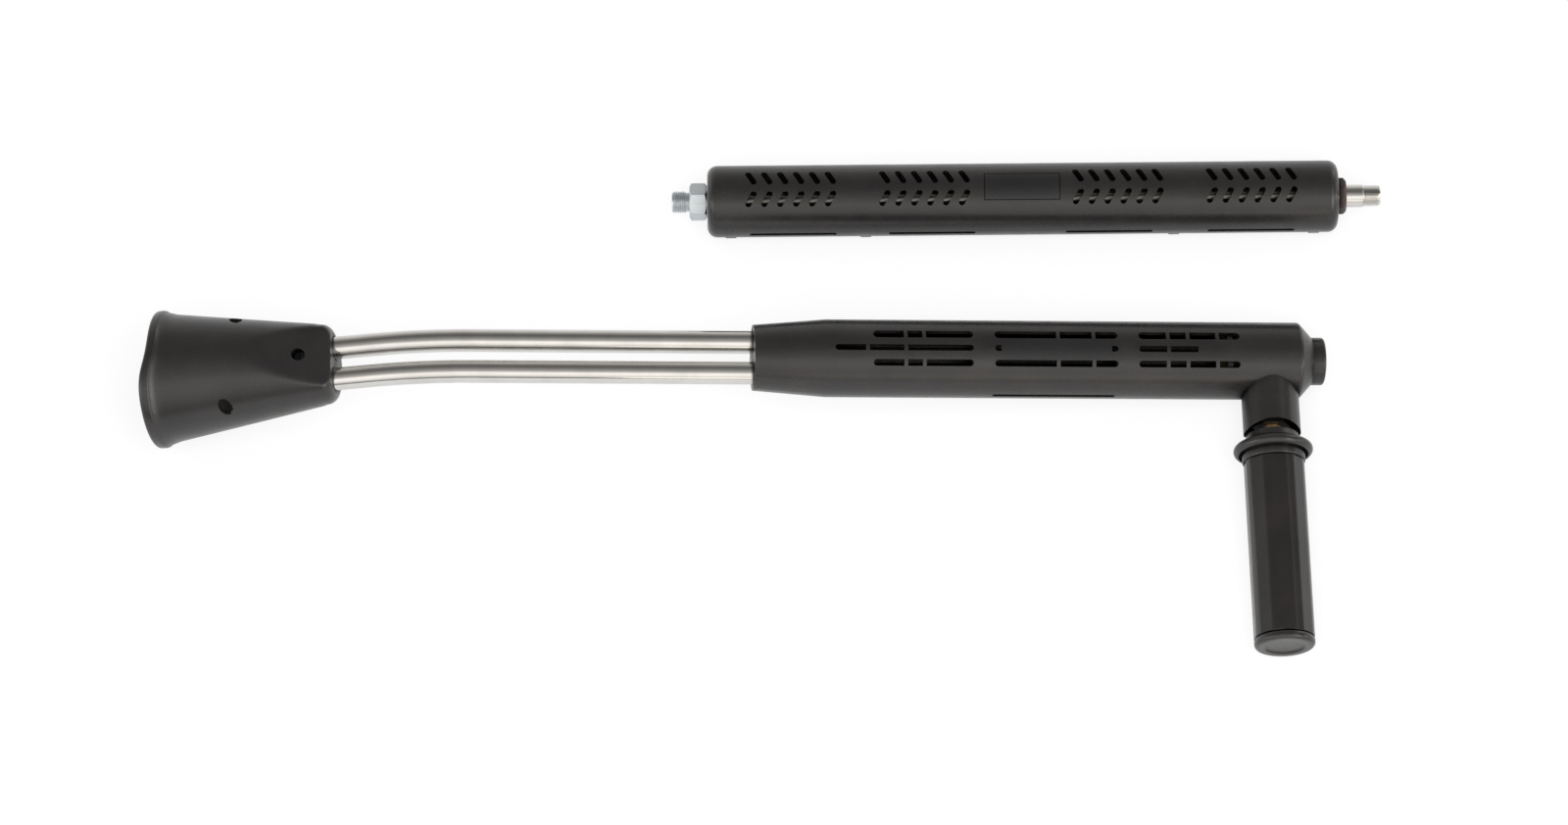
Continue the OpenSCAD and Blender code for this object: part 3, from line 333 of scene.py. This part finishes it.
def spun(name, profile, frame_of, steps=128):
    work = bmesh.new()
    chain = [work.verts.new((r, 0, z)) for r, z in profile]
    for a, b in zip(chain, chain[1:]):
        work.edges.new((a, b))
    bmesh.ops.spin(work, geom=work.verts[:] + work.edges[:], axis=(0, 0, 1), cent=(0, 0, 0),
                   angle=2 * math.pi, steps=steps, use_merge=True)
    bmesh.ops.remove_doubles(work, verts=work.verts, dist=1e-6)
    bmesh.ops.recalc_face_normals(work, faces=work.faces)
    bmesh.ops.transform(work, matrix=frame_of, verts=work.verts)
    return finished(name, work)


def combine(piece, tool, operation):
    """Applies a boolean with the tool to the piece's mesh and removes the tool."""
    step = piece.modifiers.new("combine", "BOOLEAN")
    step.operation = operation
    step.solver = "EXACT"
    step.object = tool
    bpy.context.view_layer.update()
    baked = bpy.data.meshes.new_from_object(piece.evaluated_get(bpy.context.view_layer.depsgraph))
    piece.modifiers.remove(step)
    piece.data = baked
    bpy.data.objects.remove(tool)


def cut_rod(piece, r, length, where, place, segments=48, flatness=1.0):
    """Cuts a hole as wide as a rod, which may be flattened across."""
    work = bmesh.new()
    bmesh.ops.create_cone(work, cap_ends=True, segments=segments, radius1=r, radius2=r, depth=length)
    bmesh.ops.scale(work, vec=(1, flatness, 1), verts=work.verts)
    bmesh.ops.transform(work, matrix=where, verts=work.verts)
    bmesh.ops.recalc_face_normals(work, faces=work.faces)
    bmesh.ops.transform(work, matrix=place, verts=work.verts)
    combine(piece, finished("rod", work), "DIFFERENCE")


def bevel_edges(piece, width, segments, over_deg):
    bevel = piece.modifiers.new("edges", "BEVEL")
    bevel.width = width
    bevel.segments = segments
    bevel.limit_method = "ANGLE"
    bevel.angle_limit = math.radians(over_deg)


def smooth(piece, sharp_deg):
    for face in piece.data.polygons:
        face.use_smooth = True
    piece.data.set_sharp_from_angle(angle=math.radians(sharp_deg))


def fit_out(piece, node, body, finish):
    piece.data.materials.clear()
    piece.data.materials.append(finish)
    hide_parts(node)
    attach(piece, body)


lip_back = bell_long - lip_long + lip_round
bell_profile = (
    [(0, base_gap), (0.008, base_gap)]
    + bend(neck_r - neck_round, neck_round, neck_round - base_gap, -90, 0, 8)
    + [(cone_r(s), s) for s in between(cone_start, cone_end, 24)[1:]]
    + bend(lip_r - lip_round, lip_back, lip_round, -60, 0, 5)
    + bend(lip_r - lip_round, bell_long - lip_round, lip_round, 0, 90, 6)
    + bend(lip_r - bell_wall - 0.001, bell_long - inner_round, inner_round, 90, 180, 4)
    + [(cone_r(s) - bell_wall, s) for s in between(cone_end, neck_floor, 20)]
    + [(0, neck_floor)])
bell = spun("nozzle_protector_moulding", bell_profile, Matrix.Identity(4), 160)

# The neck's flat on top: its height above the axis at the rear, its rise towards the mouth, the
# rounding of its crease, and how much lower it lies on the inside
flat_rear = 0.0121
flat_rise = math.tan(math.radians(21.8))
flat_blend = 0.0012
flat_wall = bell_wall * 1.07
# The lip: how far it is drawn back, how far its sides lean, which way and how suddenly, and how far
# its top is pressed in
pull = -0.00185
sway = 0.0031
sway_turn = math.radians(8)
sway_sharpness = 3.5
press = 0.0007
for vert in bell.data.vertices:
    x, y, s = vert.co
    turn = math.atan2(y, x)
    inside = s > neck_floor - 1e-6 and math.hypot(x, y) < cone_r(s) - 0.8 * bell_wall
    ceiling = flat_rear + flat_rise * s - (flat_wall if inside else 0)
    # A soft minimum of the round wall and the flat, so that the crease between them is rounded
    if x > 0:
        over = x - ceiling
        vert.co.x = ceiling + 0.5 * (over - math.sqrt(over * over + flat_blend * flat_blend))
    share = max(0.0, s / bell_long) ** 1.6
    vert.co.x -= share * press * max(0.0, math.cos(turn)) ** 3
    vert.co.z += share * (pull - sway * math.tanh(sway_sharpness * math.sin(turn + sway_turn)))
bell.data.transform(bell_frame)

quarter_y = Matrix.Rotation(math.radians(90), 4, "Y")
quarter_z = Matrix.Rotation(math.radians(90), 4, "Z")
tube_off = 0.0098
tube_hole_r = 0.0069
tube_hole_long = 0.04
for side in (1, -1):
    tube_place = Matrix.Translation((0, side * tube_off, 0))
    cut_rod(bell, tube_hole_r, tube_hole_long, tube_place, bell_frame, 64)
side_hole_long = 0.03
# Each drain's turn from the top towards the far side, place along the bell, and lean
drain_half = 0.0062
drain_flatness = 0.61
drain_out = 0.0325
for turn_deg, share, lean_deg in ((57, 0.513, 14), (-60, 0.569, 14), (180, 0.55, 0)):
    drain_place = (Matrix.Rotation(math.radians(turn_deg), 4, "Z")
                   @ Matrix.Translation((drain_out, 0, share * bell_long)) @ quarter_y
                   @ Matrix.Rotation(math.radians(lean_deg), 4, "Z") @ quarter_z)
    cut_rod(bell, drain_half, side_hole_long, drain_place, bell_frame, 48, drain_flatness)
screw_hole_r = 0.0038
screw_out = 0.028
screw_station = 0.0181
screw_place = Matrix.Translation((screw_out, 0, screw_station)) @ quarter_y
cut_rod(bell, screw_hole_r, side_hole_long, screw_place, bell_frame)
bevel_edges(bell, 0.0006, 3, 50)
smooth(bell, 40)
fit_out(bell, "nozzle_protector", "lance", black_nylon)

# ---- Grip: core, sleeve and end cap ----
# Three mouldings that turn with the spindle. The core carries the flange, the sleeve is a softer
# plastic with eight flats along it, and the cap closes the end with a shallow dish.
grip_frame = lance_frame @ Matrix.Rotation(math.radians(90), 4, "X")
collar_start = 0.0475
collar_end = 0.0515
collar_r = 0.0157
flange_mid = 0.057
flange_rim = 0.003
flange_r = 0.0235
hub_end = 0.060
hub_r = 0.0187
sleeve_start = 0.0648
sleeve_end = 0.1748
core_r = 0.0145
core_bore = 0.012
core_bore_start = 0.084
spindle_bore = 0.0055
cap_start = 0.1756
grip_end = 0.1801
grip_r = 0.0179
core_profile = (
    [(spindle_bore, collar_start), (collar_r - 0.0008, collar_start),
     (collar_r - 0.0002, collar_start + 0.0003), (collar_r, collar_start + 0.0008),
     (collar_r + 0.0001, collar_end - 0.0006), (collar_r + 0.0007, collar_end + 0.0003),
     (0.0178, collar_end + 0.0011), (0.0198, collar_end + 0.0017)]
    + bend(flange_r - flange_rim, flange_mid, flange_rim, -68, 90, 16)
    + [(0.0202, hub_end - 0.0003), (0.0197, hub_end - 0.0007), (0.0191, hub_end - 0.0008),
       (0.0188, hub_end - 0.0004), (hub_r, hub_end + 0.0004), (hub_r, sleeve_start - 0.0008),
       (hub_r - 0.0003, sleeve_start - 0.0002), (hub_r - 0.0008, sleeve_start),
       (core_r, sleeve_start), (core_r, cap_start), (core_bore, cap_start),
       (core_bore, core_bore_start), (spindle_bore, core_bore_start), (spindle_bore, collar_start)])
core = spun("grip_core_moulding", core_profile, grip_frame)
smooth(core, 50)
fit_out(core, "grip_core", "grip", black_nylon)

sleeve_bore = core_r + 0.00005
sleeve_edge = 0.0004
flat_half = 0.0174
eighth = math.pi / 4
sleeve_profile = [
    (sleeve_bore, sleeve_start), (grip_r - sleeve_edge, sleeve_start),
    (grip_r, sleeve_start + sleeve_edge), (grip_r, sleeve_end - sleeve_edge),
    (grip_r - sleeve_edge, sleeve_end), (sleeve_bore, sleeve_end), (sleeve_bore, sleeve_start)]
sleeve = spun("grip_sleeve_moulding", sleeve_profile, Matrix.Identity(4), 256)
for vert in sleeve.data.vertices:
    r = math.hypot(vert.co.x, vert.co.y)
    if r > sleeve_bore + 0.001:
        turn = math.atan2(vert.co.y, vert.co.x)
        from_middle = (turn + eighth / 2) % eighth - eighth / 2
        flat_reach = (flat_half - (grip_r - r)) / math.cos(from_middle)
        scale = min(r, flat_reach) / r
        vert.co.x *= scale
        vert.co.y *= scale
sleeve.data.transform(grip_frame)
smooth(sleeve, 30)
fit_out(sleeve, "grip_sleeve", "grip", grip_vinyl)

plug_r = core_bore - 0.00005
plug_start = cap_start - 0.007
cap_round = 0.0024
dish_lip = 0.0006
dish_floor = grip_end - 0.001
cap_profile = (
    [(0, plug_start), (plug_r, plug_start), (plug_r, cap_start), (grip_r - 0.0003, cap_start),
     (grip_r, cap_start + 0.0003)]
    + bend(grip_r - cap_round, grip_end - cap_round, cap_round, 0, 90, 8)
    + bend(0.0123, grip_end - dish_lip, dish_lip, 90, 150, 4)
    + [(0.0112, grip_end - 0.0009), (0.0104, dish_floor), (0, dish_floor)])
cap = spun("grip_end_cap_moulding", cap_profile, grip_frame)
smooth(cap, 50)
fit_out(cap, "grip_end_cap", "grip", black_nylon)

# ---- Extension lance: inlet nipple, pipe and outlet collar ----
# The nipple is turned from hexagon bar and zinc plated, the pipe is polished stainless with its own
# thread, and the brown collar between pipe and sleeve is plastic. Threads are cut as real helices.
along_wand = wand_frame @ quarter_y
water_bore = 0.0045
pitch = 0.001337
thread_deep = 0.00085
thread_step = pitch / 12
# Shares of half a turn: where the crest ends, and how wide the groove's flank is
groove_edge = 0.74
groove_flank = 0.46


def between_rows(r, start, end, step):
    """Rows of a straight wall, about a step apart, without the first."""
    count = max(1, round(abs(end - start) / step))
    return [(r, z) for z in between(start, end, count)[1:]]


def groove(turns):
    """How deep the groove is at a share of one turn: 0 on the crest, 1 at the root."""
    from_root = abs((turns % 1.0) - 0.5) * 2
    return min(1.0, max(0.0, (groove_edge - from_root) / groove_flank))


def cut_thread(piece, crest_r, start, end, fade):
    """Cuts a right-hand helix into the outer wall between two stations, run out over a fade."""
    for vert in piece.data.vertices:
        x, y, z = vert.co
        r = math.hypot(x, y)
        on_outer_wall = r > crest_r - 0.0012
        if start < z < end and on_outer_wall:
            share = min(1.0, (z - start) / fade, (end - z) / fade)
            depth = thread_deep * share * groove(z / pitch - math.atan2(y, x) / (2 * math.pi))
            vert.co.x *= (r - depth) / r
            vert.co.y *= (r - depth) / r


def hexagon(name, across, start, end, hole_r, chamfer, start_is_turned=True):
    """A bored hexagon bar. A cone turns off its corners at the end, and at the start if asked to."""
    corner_r = across / 2 / math.cos(math.pi / 6)
    wide_r = across * 0.6
    face_r = across / 2 - 0.0002
    work = bmesh.new()
    bmesh.ops.create_cone(work, cap_ends=True, segments=6, radius1=corner_r, radius2=corner_r,
                          depth=end - start)
    bmesh.ops.transform(work, matrix=Matrix.Translation((0, 0, (start + end) / 2))
                        @ Matrix.Rotation(math.radians(30), 4, "Z"), verts=work.verts)
    piece = finished(name, work)
    profile = [(hole_r, start)]
    if start_is_turned:
        profile += [(face_r, start), (wide_r, start + chamfer)]
    else:
        profile += [(wide_r, start)]
    profile += [(wide_r, end - chamfer), (face_r, end), (hole_r, end), (hole_r, start)]
    combine(piece, spun("turned_room", profile, Matrix.Identity(4), 96), "INTERSECT")
    piece.data.transform(along_wand)
    bevel_edges(piece, 0.00025, 2, 25)
    smooth(piece, 20)
    return piece


inlet_tip = -0.0212
nipple_start = -0.0107
nipple_end = -0.0003
inlet_crest = 0.0065785
inlet_root = inlet_crest - 0.001
neck_start = nipple_start - 0.002
neck_end = nipple_start + 0.0005
inlet_profile = (
    [(water_bore, inlet_tip), (inlet_root, inlet_tip), (inlet_crest, inlet_tip + 0.001)]
    + between_rows(inlet_crest, inlet_tip + 0.001, neck_start - 0.0006, thread_step)
    + [(inlet_root, neck_start), (inlet_root, neck_end), (water_bore, neck_end),
       (water_bore, inlet_tip)])
inlet = spun("wand_inlet_thread", inlet_profile, Matrix.Identity(4), 96)
cut_thread(inlet, inlet_crest, inlet_tip + 0.0004, neck_start, 0.0008)
inlet.data.transform(along_wand)
smooth(inlet, 40)
fit_out(inlet, "wand_inlet_nipple", "extension", zinc_plate)
nut_across = 0.0195
nut_chamfer = 0.0016
nut = hexagon("wand_inlet_hexagon", nut_across, nipple_start, nipple_end, water_bore, nut_chamfer)
fit_out(nut, "wand_inlet_nipple", "extension", zinc_plate)

pipe_r = 0.00675
pipe_start = -0.006
thread_start = 0.3931
crest_start = thread_start + 0.0003
outlet_crest = 0.00641
outlet_chamfer = 0.0008
pipe_profile = (
    [(water_bore, pipe_start), (pipe_r, pipe_start)]
    + between_rows(pipe_r, pipe_start, thread_start, 0.02)
    + [(outlet_crest, crest_start)]
    + between_rows(outlet_crest, crest_start, wand_length - outlet_chamfer, thread_step)
    + [(outlet_crest - outlet_chamfer, wand_length), (water_bore, wand_length),
       (water_bore, pipe_start)])
pipe = spun("wand_pipe_drawn", pipe_profile, Matrix.Identity(4), 96)
cut_thread(pipe, outlet_crest, crest_start, wand_length - 0.0002, 0.0006)
pipe.data.transform(along_wand)
smooth(pipe, 40)
fit_out(pipe, "wand_pipe", "extension", pipe_steel)

outlet_collar_across = 0.0191
outlet_collar_start = 0.3783
outlet_collar_end = 0.3831
outlet_collar_bore = pipe_r + 0.00005
outlet_collar_chamfer = 0.002
collar = hexagon("wand_outlet_collar_moulding", outlet_collar_across, outlet_collar_start,
                 outlet_collar_end, outlet_collar_bore, outlet_collar_chamfer, False)
fit_out(collar, "wand_outlet_collar", "extension", brown_nylon)

# ---- Floor ----
# A flat white floor that the object lies on. The camera sees it as white with the object's shadow
# on it, and it throws light back at the object as matt white card does.
floor_half = 8
floor_drop = 0.0003
sheet = bmesh.new()
bmesh.ops.create_grid(sheet, x_segments=1, y_segments=1, size=floor_half)
bmesh.ops.translate(sheet, verts=sheet.verts, vec=(0, 0, -floor_drop))
floor = finished("floor", sheet)


def grey(level):
    return (level, level, level, 1)


def matt(tree, level):
    node = tree.nodes.new("ShaderNodeBsdfDiffuse")
    node.inputs["Color"].default_value = grey(level)
    return node.outputs[0]


def glow(tree, strength):
    node = tree.nodes.new("ShaderNodeEmission")
    node.inputs["Strength"].default_value = strength
    return node.outputs[0]


def add_shaders(tree, first, second):
    node = tree.nodes.new("ShaderNodeAddShader")
    for value, socket in zip((first, second), node.inputs):
        feed(tree, value, socket)
    return node.outputs[0]


def pick_shader(tree, factor, when_0, when_1):
    node = tree.nodes.new("ShaderNodeMixShader")
    for value, socket in zip((factor, when_0, when_1), node.inputs):
        feed(tree, value, socket)
    return node.outputs[0]


floor_paint = bpy.data.materials.new("floor_paint")
floor_paint.use_nodes = True
tree = floor_paint.node_tree
tree.nodes.clear()
surface = tree.nodes.new("ShaderNodeOutputMaterial")
ray = tree.nodes.new("ShaderNodeLightPath").outputs
seen = add_shaders(tree, matt(tree, 0.26), glow(tree, 0.80))
card = matt(tree, 0.86)
mirrored_card = add_shaders(tree, card, glow(tree, 0.15))
unseen = pick_shader(tree, ray["Is Glossy Ray"], card, mirrored_card)
feed(tree, pick_shader(tree, ray["Is Camera Ray"], unseen, seen), surface.inputs["Surface"])
floor.data.materials.append(floor_paint)

# ---- Studio and lamps ----
# A white tent round the bench. What the metal and the plastic mirror is a bright arch over the
# bench, with soft boxes at the left and right. A broad lamp hangs above the front of the bench.
world = bpy.data.worlds.new("studio")
bpy.context.scene.world = world
world.use_nodes = True
tree = world.node_tree
tree.nodes.clear()
surface = tree.nodes.new("ShaderNodeOutputWorld")
ray = tree.nodes.new("ShaderNodeLightPath").outputs
where = tree.nodes.new("ShaderNodeTexCoord")
split = tree.nodes.new("ShaderNodeSeparateXYZ")
feed(tree, where.outputs["Generated"], split.inputs[0])


def light_ramp(tree, value, stops, tint=(1, 1, 1)):
    """Light levels at places from 0 to 1, in one tint."""
    node = tree.nodes.new("ShaderNodeValToRGB")
    marks = node.color_ramp.elements
    while len(marks) < len(stops):
        marks.new(0.5)
    for mark, (place, level) in zip(marks, stops):
        mark.position = place
        mark.color = opaque([level * share for share in tint])
    feed(tree, value, node.inputs["Fac"])
    return node.outputs["Color"]


def background(tree, colour, strength):
    node = tree.nodes.new("ShaderNodeBackground")
    feed(tree, colour, node.inputs["Color"])
    feed(tree, strength, node.inputs["Strength"])
    return node.outputs[0]


# The arch runs from the front horizon at 0 over the top at 0.5 to the rear horizon at 1
to_front = maths(tree, "MULTIPLY", split.outputs["Y"], -1)
height_angle = maths(tree, "ARCTAN2", split.outputs["Z"], to_front)
over_bench = maths(tree, "DIVIDE", height_angle, math.pi)
arch = light_ramp(tree, over_bench, [
    (0.0, 0.35), (0.04, 0.45), (0.10, 0.95), (0.17, 1.5), (0.28, 1.75), (0.335, 1.6), (0.375, 0.95),
    (0.45, 0.60), (0.52, 0.42), (0.58, 0.22), (0.73, 0.20), (0.84, 0.45), (0.92, 0.75), (1.0, 1.0)],
    (1, 0.975, 0.94))
# The wings run from the far left at 0 to the far right at 1
left_to_right = remap(tree, split.outputs["X"], -1.0, 1.0, 0.0, 1.0)
wings = light_ramp(tree, left_to_right, [
    (0.0, 1.9), (0.05, 1.7), (0.1, 1.6), (0.15, 1.3), (0.2, 0.85), (0.5, 0.8), (0.75, 0.9),
    (0.785, 2.6), (0.865, 2.6), (0.9, 0.8), (0.95, 0.8), (0.985, 2.8), (1.0, 3.0)])
mirrored = background(tree, arch, wings)
soft_light = background(tree, grey(1), 0.55)
white = background(tree, grey(1), 1.0)
lit = pick_shader(tree, ray["Is Glossy Ray"], soft_light, mirrored)
feed(tree, pick_shader(tree, ray["Is Camera Ray"], lit, white), surface.inputs["Surface"])


def soft_box(name, place, aim, width, height, watts, colour=(1, 1, 1), mirrored=False):
    lamp = bpy.data.lights.new(name, "AREA")
    lamp.shape = "RECTANGLE"
    lamp.size = width
    lamp.size_y = height
    lamp.energy = watts
    lamp.color = colour
    box = bpy.data.objects.new(name, lamp)
    box.location = place
    box.rotation_euler = (Vector(aim) - Vector(place)).to_track_quat("-Z", "Y").to_euler()
    box.visible_glossy = mirrored
    bpy.context.scene.collection.objects.link(box)


soft_box("top_box", (0.1, -0.9, 2.0), (0, 0, 0), 1.8, 1.4, 26)
# A low warm card before the housing draws the light band along its lower side
soft_box("front_card", (0.24, -0.55, 0.17), (0.2, 0.02, 0.03), 0.56, 0.16, 0.28, (1, 0.92, 0.80), True)

# ---- Camera ----
# It looks down on the bench from in front, a little to the left, through a long lens.
azimuth = math.radians(-1.674)
elevation = math.radians(67.679)
distance = 3.77339
aim = Vector((0.007858, -0.000730, 0.020))
back = Vector((math.sin(azimuth) * math.cos(elevation), -math.cos(azimuth) * math.cos(elevation),
               math.sin(elevation)))
lens = bpy.data.cameras.new("camera")
lens.sensor_width = 36
lens.lens = 146.25
lens.clip_end = 50
camera = bpy.data.objects.new("camera", lens)
camera.location = aim + distance * back
camera.rotation_mode = "QUATERNION"
camera.rotation_quaternion = (-back).to_track_quat("-Z", "Y")
bpy.context.scene.collection.objects.link(camera)
bpy.context.scene.camera = camera

bpy.context.scene.view_settings.view_transform = "Standard"
